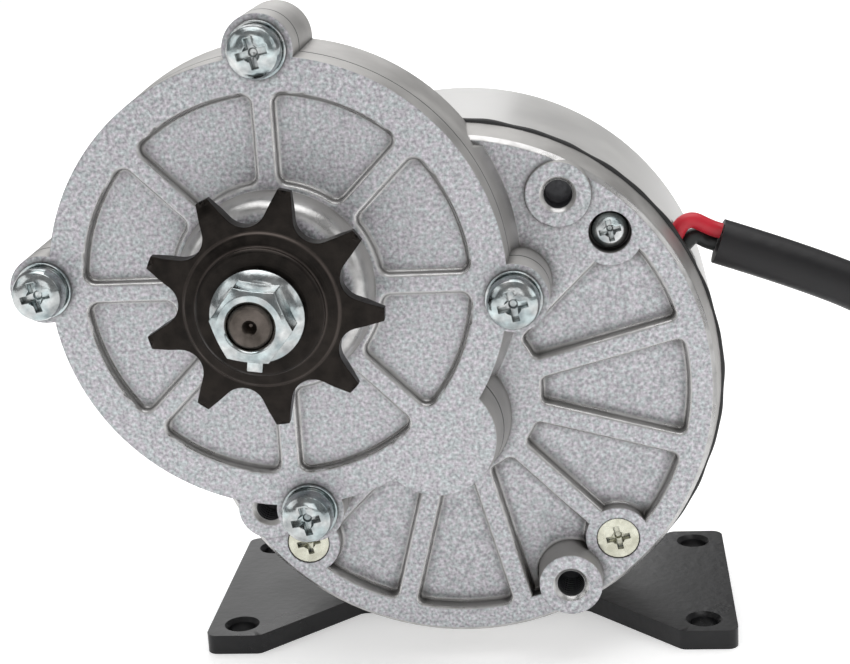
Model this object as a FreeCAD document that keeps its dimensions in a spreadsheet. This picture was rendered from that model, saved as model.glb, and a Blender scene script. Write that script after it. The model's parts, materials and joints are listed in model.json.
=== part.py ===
import FreeCAD, Part
import math
import os

import Sketcher

# Geared brushed DC motor with a nine-tooth chain sprocket.
#
# The motor axis runs along Y. The front of the motor, where the sprocket is, faces -Y.
# The origin is on the underside of the base plate, below the middle of the can.
# Lengths along the shafts are stations: millimetres forward of the back of the rear cap.

# ---------------------------------------------------------------- driving dimensions

DRIVING = [
    ("rear_y", 33.0, "Y of station zero, the back of the rear cap"),
    ("axis_height", 54.8, "motor axis above the underside of the base plate"),
    ("gear_module", 0.8, "module of the reduction gears"),
    ("pinion_teeth", 9, "teeth on the armature pinion"),
    ("wheel_teeth", 88, "teeth on the output gear"),
    ("gear_angle", 140.5, "direction of the output axis seen from the front"),
    ("can_radius", 50.8, "outside of the four-inch can"),
    ("can_wall", 3.0, "wall of the can"),
    ("can_rear", 12.6, "station of the back of the can"),
    ("rear_seat", 1.5, "station of the back of the motor's rear bearing"),
    ("can_front", 52.9, "station of the front of the can"),
    ("bell_rear", 53.8, "station where the bell's flange begins"),
    ("bell_face", 61.0, "station of the ribbed face of the bell"),
    ("bell_front_radius", 49.0, "flange radius at the ribbed face"),
    ("bell_rear_radius", 50.4, "flange radius at the seam"),
    ("bell_pocket_depth", 3.0, "depth of the pockets in the bell"),
    ("bell_pocket_inner", 16.6, "inner radius of the bell's pockets"),
    ("bell_pocket_outer", 44.0, "outer radius of the bell's pockets"),
    ("bell_rib_width", 4.2, "width of the bell's ribs"),
    ("bell_screw_radius", 42.5, "pitch radius of the through bolts"),
    ("spigot_rear", 50.8, "station of the back of the bell's spigot inside the can"),
    ("motor_seat_rear", 50.5, "station of the back of the motor's front bearing"),
    ("motor_seat_front", 59.6, "station of the end of that bearing's seat"),
    ("bolt_seat", 57.2, "station of the seat of the pan head through bolt"),
    ("case_rear", 53.8, "station of the back of the gear case"),
    ("case_front", 67.5, "station of the front of the gear case"),
    ("case_floor", 61.4, "station of the floor inside the gear case"),
    ("case_cavity_radius", 37.4, "room for the output gear"),
    ("pinion_room_radius", 5.5, "room for the armature pinion"),
    ("output_seat_rear", 54.7, "station of the back of the output shaft's rear bearing"),
    ("wheel_rear", 62.4, "station of the back of the output gear's rim"),
    ("wheel_front", 69.0, "station of the front of the output gear's rim"),
    ("cover_rear", 68.0, "station of the back of the cover"),
    ("cover_floor", 70.0, "station of the inside of the cover"),
    ("cover_face", 74.0, "station of the ribbed face of the cover"),
    ("cover_radius", 41.7, "cover radius at its face"),
    ("draft", 0.045, "growth of the case walls per millimetre going back"),
    ("bulge_draft", 0.17, "the same for the swelling beside the pinion"),
    ("case_flare", 1.8, "growth of the case wall where it meets the bell's face"),
    ("cover_pocket_depth", 2.0, "depth of the pockets in the cover"),
    ("pocket_rounding", 0.8, "radius of the rims and floors of both castings' pockets"),
    ("cover_pocket_inner", 19.2, "inner radius of the cover's pockets"),
    ("cover_pocket_outer", 35.1, "outer radius of the cover's pockets"),
    ("cover_rib_width", 3.8, "width of the cover's ribs"),
    ("hub_radius", 17.9, "foot of the boss round the output shaft"),
    ("hub_face", 79.5, "station of the front of that boss"),
    ("output_seat_front", 76.0, "station of the end of the front bearing's seat"),
    ("seal_rear", 76.5, "station of the back of the oil seal"),
    ("race_seat_radius", 12.02, "seats of the output bearings and of the oil seal"),
    ("lug_radius", 6.3, "radius of the cover's screw lugs"),
    ("lug_pitch_radius", 42.8, "distance of the lugs from the output axis"),
    ("bulge_radius", 11.1, "radius of the swelling beside the pinion"),
    ("bulge_distance", 40.0, "distance of that swelling from the output axis"),
    ("bulge_angle", -46.9, "its direction from the output axis"),
    ("plate_thickness", 4.0, "thickness of the base plate"),
    ("plate_half_length", 53.0, "half the base plate across the motor"),
    ("plate_half_depth", 25.5, "half the base plate along the motor"),
    ("plate_waist", 7.0, "half the base plate's waist"),
    ("plate_foot_width", 11.0, "width of each foot before the flare"),
    ("foot_hole_x", 46.5, "half the hole spacing across the motor"),
    ("foot_hole_y", 20.0, "half the hole spacing along the motor"),
    ("foot_hole_radius", 2.75, "half the bore of the M6 threads in the feet"),
    ("boss_radius", 6.2, "radius of the bell's mounting bosses"),
    ("boss_pitch_radius", 43.0, "distance of the bosses from the motor axis"),
    ("boss_hole_radius", 2.6, "half the bore of the M6 threads in the bosses"),
    ("pad_radius", 6.2, "radius of the pads under the bolt heads"),
    ("sprocket_teeth", 9, "teeth on the sprocket"),
    ("chain_pitch", 12.7, "pitch of the chain"),
    ("roller_seat", 3.95, "radius of the roller seats"),
    ("sprocket_tip", 21.2, "radius over the sprocket's teeth"),
    ("sprocket_rear", 85.3, "station of the back of the toothed plate"),
    ("sprocket_face", 88.5, "station of the front of the toothed plate"),
    ("sprocket_hub_rear", 81.5, "station of the back of the sprocket's hub"),
    ("sprocket_hub_face", 91.0, "station of the front of the sprocket's hub"),
    ("sprocket_key_angle", -98.0, "direction of the sprocket's key seen from the front"),
    ("sprocket_phase", 75.4, "direction of one tooth seen from the front"),
    ("shaft_radius", 6.0, "output shaft"),
    ("shaft_end", 100.0, "station of the front end of the output shaft"),
    ("stud_radius", 4.0, "M8 thread on the output shaft"),
    ("armature_radius", 37.2, "armature core"),
    ("armature_rear", 20.5, "station of the back of the core"),
    ("armature_front", 45.5, "station of the front of the core"),
    ("drum_radius", 13.0, "commutator"),
    ("brush_plate", 8.3, "station of the front of the brush ring"),
    ("lead_radius", 1.5, "half the diameter of a motor lead"),
    ("sleeve_radius", 4.3, "half the diameter of the sleeve over the leads"),
    ("gap", 0.06, "radial clearance of running and sliding fits"),
]

doc = FreeCAD.newDocument("geared_motor")
sheet = doc.addObject("Spreadsheet::Sheet", "dims")


class Size:
    """A length or angle that knows its number and the sheet expression it comes from."""

    def __init__(self, value, text):
        self.value = float(value)
        self.text = text

    def __add__(self, other):
        other = as_size(other)
        return Size(self.value + other.value, f"({self.text} + {other.text})")

    def __sub__(self, other):
        other = as_size(other)
        return Size(self.value - other.value, f"({self.text} - {other.text})")

    def __mul__(self, other):
        other = as_size(other)
        return Size(self.value * other.value, f"({self.text} * {other.text})")

    def __truediv__(self, other):
        other = as_size(other)
        return Size(self.value / other.value, f"({self.text} / {other.text})")

    def __radd__(self, other):
        return as_size(other) + self

    def __rsub__(self, other):
        return as_size(other) - self

    def __rmul__(self, other):
        return as_size(other) * self

    def __neg__(self):
        return Size(-self.value, f"(-1 * {self.text})")


def as_size(number):
    if isinstance(number, Size):
        return number
    return Size(number, f"({float(number):.6f})")


def cosine(angle):
    angle = as_size(angle)
    return Size(math.cos(math.radians(angle.value)), f"cos({angle.text} * 1deg)")


def sine(angle):
    angle = as_size(angle)
    return Size(math.sin(math.radians(angle.value)), f"sin({angle.text} * 1deg)")


class Dims:
    """The driving dimensions by name, each one bound to its cell."""


dims = Dims()
for row, (alias, number, meaning) in enumerate(DRIVING, start=1):
    sheet.set(f"A{row}", meaning)
    sheet.set(f"B{row}", str(number))
    sheet.setAlias(f"B{row}", alias)
    setattr(dims, alias, Size(number, f"dims.{alias}"))
doc.recompute()

centre_distance = dims.gear_module * (dims.pinion_teeth + dims.wheel_teeth) / 2
wheel_x = centre_distance * cosine(dims.gear_angle)
wheel_z = dims.axis_height + centre_distance * sine(dims.gear_angle)

MOTOR_AXIS = (as_size(0), dims.axis_height)
OUTPUT_AXIS = (wheel_x, wheel_z)
FACING_FRONT = FreeCAD.Rotation(FreeCAD.Vector(1, 0, 0), 90)

BOLT_ANGLES = (45, -45, -135)
PAN_BOLT_ANGLE = 45
LUG_ANGLES = (90, 178.5, -4.2, -85.8)
# Direction, front station and station of the thread's end of each mounting boss on the bell.
BOSSES = ((61, 62.3, 56.8), (-61, 65.5, 56.3), (-149, 62.7, 55.8))
LEAD_ANGLE = 29.8
MAGNET_HALF_ANGLE = 28
# Directions, from the output axis, of the ribs behind the overhanging part of the gear case.
CASE_BACK_RIBS = (60, 100, 140, 218)
# Distance of the keyways' floors from the middle of the output shaft.
KEY_FLOOR = 3.7
# Stations of the tips of the cover's screws and of the through bolts.
SCREW_TIP = 60.2
RIM_MARGIN = 0.05
BOLT_TIP = 6


# ---------------------------------------------------------------- helpers

def bind(thing, **sizes):
    """Set properties and bind each one to the sheet; x, y and z mean the placement."""
    for name, number in sizes.items():
        number = as_size(number)
        if name in ("x", "y", "z"):
            setattr(thing.Placement.Base, name, number.value)
            thing.setExpression(f"Placement.Base.{name}", number.text)
        else:
            setattr(thing, name, number.value)
            thing.setExpression(name, number.text)
    return thing


def about(axis, distance, angle):
    """The axis that stands at a distance and direction from another, seen from the front."""
    return (axis[0] + distance * cosine(angle), axis[1] + distance * sine(angle))


def place(thing, axis, station):
    """Stand a piece on an axis, its own Z pointing to the front."""
    thing.Placement = FreeCAD.Placement(FreeCAD.Vector(), FACING_FRONT)
    return bind(thing, x=axis[0], y=dims.rear_y - station, z=axis[1])


def rod(name, radius, start, end, axis):
    """A cylinder between two stations."""
    piece = doc.addObject("Part::Cylinder", name)
    bind(piece, Radius=radius, Height=as_size(end) - start)
    return place(piece, axis, start)


def spoke(name, radius, near, far, axis, station, angle):
    """A cylinder that points away from an axis, between two distances from it."""
    piece = doc.addObject("Part::Cylinder", name)
    outwards = FreeCAD.Vector(cosine(angle).value, 0, sine(angle).value)
    piece.Placement.Rotation = FreeCAD.Rotation(FreeCAD.Vector(0, 0, 1), outwards)
    start = about(axis, near, angle)
    return bind(piece, Radius=radius, Height=far - near, x=start[0], y=dims.rear_y - station,
                z=start[1])


def taper(name, start_radius, end_radius, start, end, axis):
    """A cone between two stations."""
    piece = doc.addObject("Part::Cone", name)
    bind(piece, Radius1=start_radius, Radius2=end_radius, Height=as_size(end) - start)
    return place(piece, axis, start)


def block(name, width, height, start, end, axis, turn=0, out=0):
    """A box whose near face is `out` from the axis, reaching outwards along `turn`."""
    piece = doc.addObject("Part::Box", name)
    bind(piece, Length=height, Width=width, Height=as_size(end) - start)
    spin = FreeCAD.Rotation(FreeCAD.Vector(0, 0, 1), as_size(turn).value)
    piece.Placement = FreeCAD.Placement(FreeCAD.Vector(), FACING_FRONT.multiply(spin))
    corner_x = axis[0] + out * cosine(turn) + as_size(width) / 2 * sine(turn)
    corner_z = axis[1] + out * sine(turn) - as_size(width) / 2 * cosine(turn)
    return bind(piece, x=corner_x, y=dims.rear_y - start, z=corner_z)


def fuse(name, pieces):
    joined = doc.addObject("Part::MultiFuse", name)
    joined.Shapes = pieces
    joined.Refine = True
    return joined


def cut(name, base, tools):
    result = doc.addObject("Part::Cut", name)
    result.Base = base
    result.Tool = tools[0] if len(tools) == 1 else fuse(name + "_cutters", tools)
    result.Refine = True
    return result


def common(name, first, second):
    result = doc.addObject("Part::Common", name)
    result.Base = first
    result.Tool = second
    return result


def group(name, pieces):
    """Identical pieces that share one node as separate solids."""
    result = doc.addObject("Part::Compound", name)
    result.Links = pieces
    return result


def tube(name, inner, outer, start, end, axis):
    """A plain ring between two stations."""
    return cut(name, rod(name + "_outside", outer, start, end, axis),
               [rod(name + "_inside", inner, start - 1, end + 1, axis)])


def origin_plane(body, role):
    return next(item for item in body.Origin.OriginFeatures if item.Role == role)


def sketch_outline(body, name, role, corners):
    """A closed outline of straight lines, every corner bound to the sheet."""
    sketch = body.newObject("Sketcher::SketchObject", name)
    sketch.AttachmentSupport = [(origin_plane(body, role), "")]
    sketch.MapMode = "FlatFace"
    spots = [FreeCAD.Vector(across.value, along.value, 0) for across, along in corners]
    for index, spot in enumerate(spots):
        following = spots[(index + 1) % len(spots)]
        sketch.addGeometry(Part.LineSegment(spot, following), False)
    for index in range(len(spots)):
        following = (index + 1) % len(spots)
        sketch.addConstraint(Sketcher.Constraint("Coincident", index, 2, following, 1))
    for index, corner in enumerate(corners):
        for kind, number in zip(("DistanceX", "DistanceY"), corner):
            rule = Sketcher.Constraint(kind, -1, 1, index, 1, number.value)
            where = sketch.addConstraint(rule)
            sketch.setExpression(f"Constraints[{where}]", number.text)
    return sketch


def turned(name, axis, corners):
    """A piece turned on a lathe: corners are (radius, station) pairs."""
    body = doc.addObject("PartDesign::Body", name)
    sizes = [(as_size(radius), as_size(station)) for radius, station in corners]
    outline = sketch_outline(body, name + "_outline", "XZ_Plane", sizes)
    turn = body.newObject("PartDesign::Revolution", name + "_turn")
    turn.Profile = outline
    turn.ReferenceAxis = (outline, ["V_Axis"])
    turn.Angle = 360
    body.Tip = turn
    return place(body, axis, 0)


def round_edges(name, base, radius, wanted):
    """Fillet the edges of a piece that `wanted` picks."""
    doc.recompute()
    chosen = [number for number, edge in enumerate(base.Shape.Edges, start=1) if wanted(edge)]
    rounded = doc.addObject("Part::Fillet", name)
    rounded.Base = base
    rounded.Edges = [(number, radius, radius) for number in chosen]
    return rounded


def runs_along_shaft(edge):
    """Whether an edge is a straight line along Y."""
    ends = edge.Vertexes
    if len(ends) != 2 or edge.Curve.TypeId != "Part::GeomLine":
        return False
    step = ends[1].Point.sub(ends[0].Point)
    return abs(step.x) + abs(step.z) < 0.01


# ---------------------------------------------------------------- base plate

def make_base_plate():
    """A bow-tie plate: two feet that flare into a narrow waist under the can."""
    body = doc.addObject("PartDesign::Body", "base_plate")
    length = dims.plate_half_length
    depth = dims.plate_half_depth
    waist = dims.plate_waist
    shoulder = length - dims.plate_foot_width
    neck = shoulder - (depth - waist)
    quarter = [(length, depth), (shoulder, depth), (neck, waist)]
    corners = quarter[:]
    corners += [(-across, along) for across, along in reversed(quarter)]
    corners += [(-across, -along) for across, along in quarter]
    corners += [(across, -along) for across, along in reversed(quarter)]
    outline = sketch_outline(body, "base_plate_outline", "XY_Plane", corners)
    pad = body.newObject("PartDesign::Pad", "base_plate_pad")
    pad.Profile = outline
    bind(pad, Length=dims.plate_thickness)
    body.Tip = pad
    doc.recompute()
    tall = [number for number, edge in enumerate(pad.Shape.Edges, start=1)
            if abs(edge.Vertexes[0].Point.x - edge.Vertexes[1].Point.x) < 0.01
            and abs(edge.Vertexes[0].Point.y - edge.Vertexes[1].Point.y) < 0.01]
    corner_round = body.newObject("PartDesign::Fillet", "base_plate_corners")
    corner_round.Base = (pad, [f"Edge{number}" for number in tall])
    corner_round.Radius = 2.2
    body.Tip = corner_round
    holes = []
    for side in (-1, 1):
        for end in (-1, 1):
            name = f"foot_hole_{side + 1}_{end + 1}"
            hole = doc.addObject("Part::Cylinder", name)
            bind(hole, Radius=dims.foot_hole_radius, Height=dims.plate_thickness + 2,
                 x=side * dims.foot_hole_x, y=end * dims.foot_hole_y, z=-1)
            lead_in = doc.addObject("Part::Cone", name + "_lead_in")
            bind(lead_in, Radius1=dims.foot_hole_radius, Radius2=dims.foot_hole_radius + 0.8,
                 Height=0.8, x=side * dims.foot_hole_x, y=end * dims.foot_hole_y,
                 z=dims.plate_thickness - 0.8)
            holes += [hole, lead_in]
    body.Label = "base_plate_blank"
    return cut("base_plate_drilled", body, holes)


def make_base_welds():
    """Two weld beads that close the gap between the can and the waist of the plate."""
    bead_length = 24.0
    bead_width = 2.4
    beads = []
    for side in (-1, 1):
        bead = doc.addObject("Part::Box", f"weld_stock_{side + 1}")
        near = dims.plate_waist if side > 0 else -dims.plate_waist - bead_width
        bind(bead, Length=bead_length, Width=bead_width, Height=3.4,
             x=-bead_length / 2, y=near, z=2.0)
        room = rod(f"weld_room_{side + 1}", dims.can_radius, dims.can_rear, dims.can_front,
                   MOTOR_AXIS)
        beads.append(cut(f"weld_bead_{side + 1}", bead, [room]))
    return group("base_welds", beads)


# ---------------------------------------------------------------- can and rear cap

def make_can():
    shell = tube("can_tube", dims.can_radius - dims.can_wall, dims.can_radius,
                 dims.can_rear, dims.can_front, MOTOR_AXIS)
    notch = block("can_notch", 8.6, 12, dims.can_front - 6.5, dims.can_front + 1,
                  MOTOR_AXIS, LEAD_ANGLE, 44)
    return cut("motor_can", shell, [notch])


def make_can_seal():
    return tube("can_seal", dims.can_radius - dims.can_wall, dims.can_radius - 0.45,
                dims.can_front, dims.bell_rear, MOTOR_AXIS)


def make_rear_cap():
    """A cast cup that closes the can and carries the rear bearing, ribbed behind."""
    inner = dims.can_radius - dims.can_wall
    seat = dims.rear_seat
    spigot_front = dims.can_rear + 3
    cup = turned("rear_cap_cup", MOTOR_AXIS, [
        (11.05, seat), (13.5, seat), (13.5, seat + 1), (43.0, seat + 1), (44.0, spigot_front),
        (inner - dims.gap, spigot_front), (inner - dims.gap, dims.can_rear),
        (49.8, dims.can_rear), (49.6, dims.can_rear - 2), (46.8, dims.can_rear - 2),
        (45.4, 1.5), (43.9, 0), (0.01, 0), (0.01, seat)])
    hub = tube("rear_cap_hub", 11.02, 13.5, seat, seat + 7, MOTOR_AXIS)
    bosses = [rod(f"rear_cap_boss_{angle + 200}", 4.5, 2, dims.can_rear,
                  about(MOTOR_AXIS, dims.bell_screw_radius - 0.6, angle))
              for angle in BOLT_ANGLES]
    solid = fuse("rear_cap_casting", [cup, hub] + bosses)
    pockets = wedge_pockets("rear_cap_pockets", as_size(17), as_size(39), as_size(-1), -0.1,
                            MOTOR_AXIS, 6, 15, 5, [], 1.5)
    threads = [rod(f"rear_cap_thread_{angle + 200}", 2.05, BOLT_TIP - 1, spigot_front + 1,
                   about(MOTOR_AXIS, dims.bell_screw_radius, angle))
               for angle in BOLT_ANGLES]
    return cut("rear_cap", solid, threads + [pockets])


# ---------------------------------------------------------------- end bell and gear case

def wedge_pockets(name, inner, outer, floor, face, axis, count, first, rib, islands, corner,
                  plain=()):
    """Pockets between radial ribs, as cutters with rounded corners."""
    ring = tube(name + "_ring", inner, outer, floor, face + 1, axis)
    ribs = [block(f"{name}_rib_{index}", rib, outer + 2, floor - 1, face + 2, axis,
                  first + 360 / count * index) for index in range(count)]
    posts = [rod(f"{name}_post_{index}", radius, floor - 1, face + 2, where)
             for index, (radius, where) in enumerate(islands)]
    pockets = cut(name + "_sectors", ring, ribs + posts + list(plain))

    def is_rib_corner(edge):
        spot = edge.Vertexes[0].Point
        distance = math.hypot(spot.x - axis[0].value, spot.z - axis[1].value)
        at_ring = min(abs(distance - inner.value), abs(distance - outer.value)) < 0.01
        clear = all(math.hypot(spot.x - where[0].value, spot.z - where[1].value)
                    > radius.value + 2.3 * corner for radius, where in islands)
        return at_ring and clear and runs_along_shaft(edge)

    cornered = round_edges(name + "_cornered", pockets, corner, is_rib_corner)
    return round_edges(name, cornered, dims.pocket_rounding.value, all_at(floor))


def all_at(station):
    """Picks out the edges that lie wholly at one station."""
    level = dims.rear_y.value - station.value

    def picked(edge):
        return all(abs(corner.Point.y - level) < 0.01 for corner in edge.Vertexes)

    return picked


def round_pocket_rims(name, piece, face, axis, inner, outer, islands=()):
    """Round the rims of a piece's pockets, between two distances from an axis."""
    at_face = all_at(face)

    def is_rim(edge):
        spots = [corner.Point for corner in edge.Vertexes]
        distances = [math.hypot(spot.x - axis[0].value, spot.z - axis[1].value)
                     for spot in spots]
        near = min(distances) > inner.value - 0.1 and max(distances) < outer.value + 0.1
        clear = all(math.hypot(spot.x - where[0].value, spot.z - where[1].value)
                    > radius.value + RIM_MARGIN for radius, where in islands for spot in spots)
        return near and clear and at_face(edge)

    return round_edges(name, piece, dims.pocket_rounding.value, is_rim)


def case_outline(name, start, end):
    """The drafted outside of the gear case between two stations."""
    def grown(radius, draft, station):
        return radius + draft * (dims.cover_face - station)

    pieces = [taper(name + "_round", grown(dims.cover_radius, dims.draft, start),
                    grown(dims.cover_radius, dims.draft, end), start, end, OUTPUT_AXIS)]
    swelling = about(OUTPUT_AXIS, dims.bulge_distance, dims.bulge_angle)
    pieces.append(taper(name + "_bulge", grown(dims.bulge_radius, dims.bulge_draft, start),
                        grown(dims.bulge_radius, dims.bulge_draft, end), start, end, swelling))
    for index, angle in enumerate(LUG_ANGLES):
        column = about(OUTPUT_AXIS, dims.lug_pitch_radius, angle)
        slim = dims.draft / 3
        pieces.append(taper(f"{name}_lug_{index}",
                            dims.lug_radius + slim * (dims.cover_face - start),
                            dims.lug_radius + slim * (dims.cover_face - end),
                            start, end, column))
    return fuse(name, pieces)


def lug_axes():
    return [about(OUTPUT_AXIS, dims.lug_pitch_radius, angle) for angle in LUG_ANGLES]


def make_case_flare():
    """The fillet, drawn as a cone, where the gear case stands on the bell's face."""
    low = dims.bell_face - 0.5
    high = dims.bell_face + 2.6
    foot = dims.cover_radius + dims.draft * (dims.cover_face - high)
    cone = taper("case_flare_cone", foot + dims.case_flare, foot, low, high, OUTPUT_AXIS)
    room = rod("case_flare_room", dims.bell_front_radius - 1.5, low - 1, high + 1, MOTOR_AXIS)
    return common("case_flare_trimmed", cone, room)


def make_case_back_room():
    """The hollow behind the part of the gear case that stands out past the can."""
    start = dims.case_rear - 1
    end = dims.case_floor - 3
    stock = rod("case_back_stock", 38.6, start, end, OUTPUT_AXIS)
    kept = [rod("case_back_rim", dims.bell_rear_radius - 0.3, start - 1, end + 1, MOTOR_AXIS),
            rod("case_back_hub", 14.4, start - 1, end + 1, OUTPUT_AXIS)]
    kept += [rod(f"case_back_post_{index}", 7.0, start - 1, end + 1, where)
             for index, where in enumerate(lug_axes())]
    kept += [block(f"case_back_rib_{angle}", 2.6, 30, start - 1, end + 1, OUTPUT_AXIS, angle, 12)
             for angle in CASE_BACK_RIBS]
    return cut("case_back_room", stock, kept)


def make_end_bell():
    """The front end bell, cast in one with the gear case."""
    spigot = dims.can_radius - dims.can_wall - dims.gap
    disc = turned("bell_disc", MOTOR_AXIS, [
        (15.05, dims.motor_seat_rear), (18.5, dims.motor_seat_rear), (18.5, 55.2),
        (44.0, 55.2), (44.0, dims.spigot_rear),
        (spigot, dims.spigot_rear), (spigot, dims.bell_rear),
        (dims.bell_rear_radius, dims.bell_rear),
        (dims.bell_front_radius + 0.1, dims.bell_face - 0.8),
        (dims.bell_front_radius - 0.7, dims.bell_face),
        (6.2, dims.bell_face), (6.2, dims.motor_seat_front), (15.05, dims.motor_seat_front)])
    boss_axes = [about(MOTOR_AXIS, dims.boss_pitch_radius, angle) for angle, _, _ in BOSSES]
    pad_axes = [about(MOTOR_AXIS, dims.bell_screw_radius, angle) for angle in BOLT_ANGLES]
    islands = [(dims.boss_radius, where) for where in boss_axes]
    islands += [(dims.pad_radius, where) for where in pad_axes]
    pocket_floor = dims.bell_face - dims.bell_pocket_depth
    plain = rod("bell_plain_sector", dims.bell_pocket_outer + 2, pocket_floor - 1,
                dims.bell_face + 2, MOTOR_AXIS)
    plain.Angle = 60
    from_upper_bolt = FreeCAD.Rotation(FreeCAD.Vector(0, 0, 1), 45)
    plain.Placement.Rotation = FACING_FRONT.multiply(from_upper_bolt)
    pockets = wedge_pockets("bell_pockets", dims.bell_pocket_inner, dims.bell_pocket_outer,
                            pocket_floor, dims.bell_face, MOTOR_AXIS, 12, 15,
                            dims.bell_rib_width, islands, 1.2, [plain])
    ribbed = round_pocket_rims("bell_ribbed", cut("bell_pocketed", disc, [pockets]),
                               dims.bell_face, MOTOR_AXIS, dims.bell_pocket_inner,
                               dims.bell_pocket_outer, islands)
    bosses = [taper(f"bell_boss_{index}", dims.boss_radius + 0.3, dims.boss_radius - 0.2,
                    56, front, boss_axes[index])
              for index, (_, front, _) in enumerate(BOSSES)]
    backs = [rod(f"bell_bolt_back_{index}", 5, 51, 56, where)
             for index, where in enumerate(pad_axes)]
    case = case_outline("case_outside", dims.case_rear, dims.case_front)
    bearing_back = rod("case_bearing_back", 14.5, dims.bell_rear, dims.case_floor, OUTPUT_AXIS)
    casting = fuse("bell_casting", [ribbed, case, make_case_flare(), bearing_back]
                   + bosses + backs)

    clear = dims.cover_face
    behind = dims.motor_seat_rear - 0.5
    sink_top = dims.bell_face - 0.5
    cutters = [rod("case_room", dims.case_cavity_radius, dims.case_floor, clear, OUTPUT_AXIS),
               rod("case_pinion_room", dims.pinion_room_radius, dims.case_floor, clear, MOTOR_AXIS),
               rod("case_bearing_seat", dims.race_seat_radius, dims.output_seat_rear,
                   dims.case_floor + 0.6, OUTPUT_AXIS),
               rod("bell_bearing_seat", 15.02, behind, dims.motor_seat_front, MOTOR_AXIS),
               rod("bell_shaft_hole", 6.2, behind, dims.bell_face + 1, MOTOR_AXIS),
               make_case_back_room()]
    cutters += [rod(f"bell_boss_thread_{index}", dims.boss_hole_radius, end, clear,
                    boss_axes[index]) for index, (_, _, end) in enumerate(BOSSES)]
    cutters += [taper(f"bell_boss_mouth_{index}", dims.boss_hole_radius,
                      dims.boss_hole_radius + 0.9, front - 0.8, front + 0.1, boss_axes[index])
                for index, (_, front, _) in enumerate(BOSSES)]
    cutters += [rod(f"case_lug_thread_{index}", 2.55, SCREW_TIP - 0.6, clear, where)
                for index, where in enumerate(lug_axes())]
    for index, angle in enumerate(BOLT_ANGLES):
        where = pad_axes[index]
        cutters.append(rod(f"bell_bolt_hole_{index}", 2.15, behind, dims.bell_face + 2, where))
        if angle == PAN_BOLT_ANGLE:
            cutters.append(rod("bell_counterbore", 3.95, dims.bolt_seat, dims.bell_face + 2, where))
        else:
            cutters.append(taper(f"bell_countersink_{index}", 2.15, 4.15, sink_top - 1.8,
                                 sink_top, where))
            cutters.append(rod(f"bell_head_room_{index}", 4.15, sink_top, dims.bell_face + 2,
                               where))
    cutters.append(block("bell_lead_notch", 14, 10, dims.motor_seat_rear, dims.bell_rear,
                         MOTOR_AXIS, LEAD_ANGLE + 3, 40))
    return cut("end_bell", casting, cutters)


# ---------------------------------------------------------------- gear cover

def make_gear_cover():
    """The ribbed cover with its screw lugs and the boss round the output shaft."""
    outside = case_outline("cover_outside", dims.cover_rear, dims.cover_face)
    hub_rear = dims.cover_face - 1.5
    hub = turned("cover_hub", OUTPUT_AXIS, [
        (8.0, hub_rear), (dims.hub_radius + 0.6, hub_rear),
        (dims.hub_radius + 0.2, dims.cover_face),
        (dims.hub_radius - 0.4, dims.hub_face - 3.0), (dims.hub_radius - 1.0, dims.hub_face - 1.7),
        (dims.hub_radius - 2.0, dims.hub_face - 0.7), (dims.hub_radius - 3.4, dims.hub_face - 0.1),
        (8.0, dims.hub_face)])
    pockets = wedge_pockets("cover_pockets", dims.cover_pocket_inner, dims.cover_pocket_outer,
                            dims.cover_face - dims.cover_pocket_depth, dims.cover_face,
                            OUTPUT_AXIS, 8, 0, dims.cover_rib_width, [], 1.8)
    ribbed = round_pocket_rims("cover_ribbed", cut("cover_pocketed", outside, [pockets]),
                               dims.cover_face, OUTPUT_AXIS, dims.cover_pocket_inner,
                               dims.cover_pocket_outer)
    casting = fuse("cover_casting", [ribbed, hub])
    behind = dims.cover_rear - 1
    front = dims.hub_face + 1
    cutters = [
        rod("cover_room", dims.case_cavity_radius, behind, dims.cover_floor, OUTPUT_AXIS),
        rod("cover_pinion_room", dims.pinion_room_radius, behind, dims.cover_floor, MOTOR_AXIS),
        rod("cover_bearing_seat", dims.race_seat_radius, behind, dims.output_seat_front,
            OUTPUT_AXIS),
        rod("cover_shaft_hole", 10.5, behind, front, OUTPUT_AXIS),
        rod("cover_seal_seat", dims.race_seat_radius, dims.seal_rear, front, OUTPUT_AXIS)]
    cutters += [rod(f"cover_lug_hole_{index}", 2.75, behind, front, where)
                for index, where in enumerate(lug_axes())]
    return cut("gear_cover", casting, cutters)


def make_gasket():
    """A flat gasket between the case and the cover, cut to the wall's shape."""
    sheet_stock = case_outline("gasket_sheet", dims.case_front, dims.cover_rear)
    behind = dims.case_front - 1
    front = dims.cover_rear + 1
    cutters = [
        rod("gasket_room", dims.case_cavity_radius, behind, front, OUTPUT_AXIS),
        rod("gasket_pinion_room", dims.pinion_room_radius, behind, front, MOTOR_AXIS)]
    cutters += [rod(f"gasket_hole_{index}", 2.75, behind, front, where)
                for index, where in enumerate(lug_axes())]
    return cut("cover_gasket", sheet_stock, cutters)


def make_oil_seal():
    """A lip seal that runs on the spacer, flush with the boss."""
    lip = 8.0 + dims.gap + 0.04
    rear = dims.seal_rear
    face = dims.hub_face - 0.1
    return turned("oil_seal", OUTPUT_AXIS, [
        (lip, rear + 0.5), (9.4, rear), (12.0, rear), (12.0, face), (9.0, face),
        (lip, face - 0.8)])


# ---------------------------------------------------------------- fasteners

def cross_recess(name, size, depth, top, axis):
    """The cross-shaped drive cut in a screw head."""
    width = size * 0.24
    arms = []
    for index, turn in enumerate((12, 102)):
        arm = block(f"{name}_arm_{index}", width, size, top - depth, top + 1, axis, turn,
                    -size / 2)
        arms.append(arm)
    heart = taper(name + "_heart", size * 0.12, size * 0.3, top - depth - 0.5, top + 0.2, axis)
    return fuse(name, arms + [heart])


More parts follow.
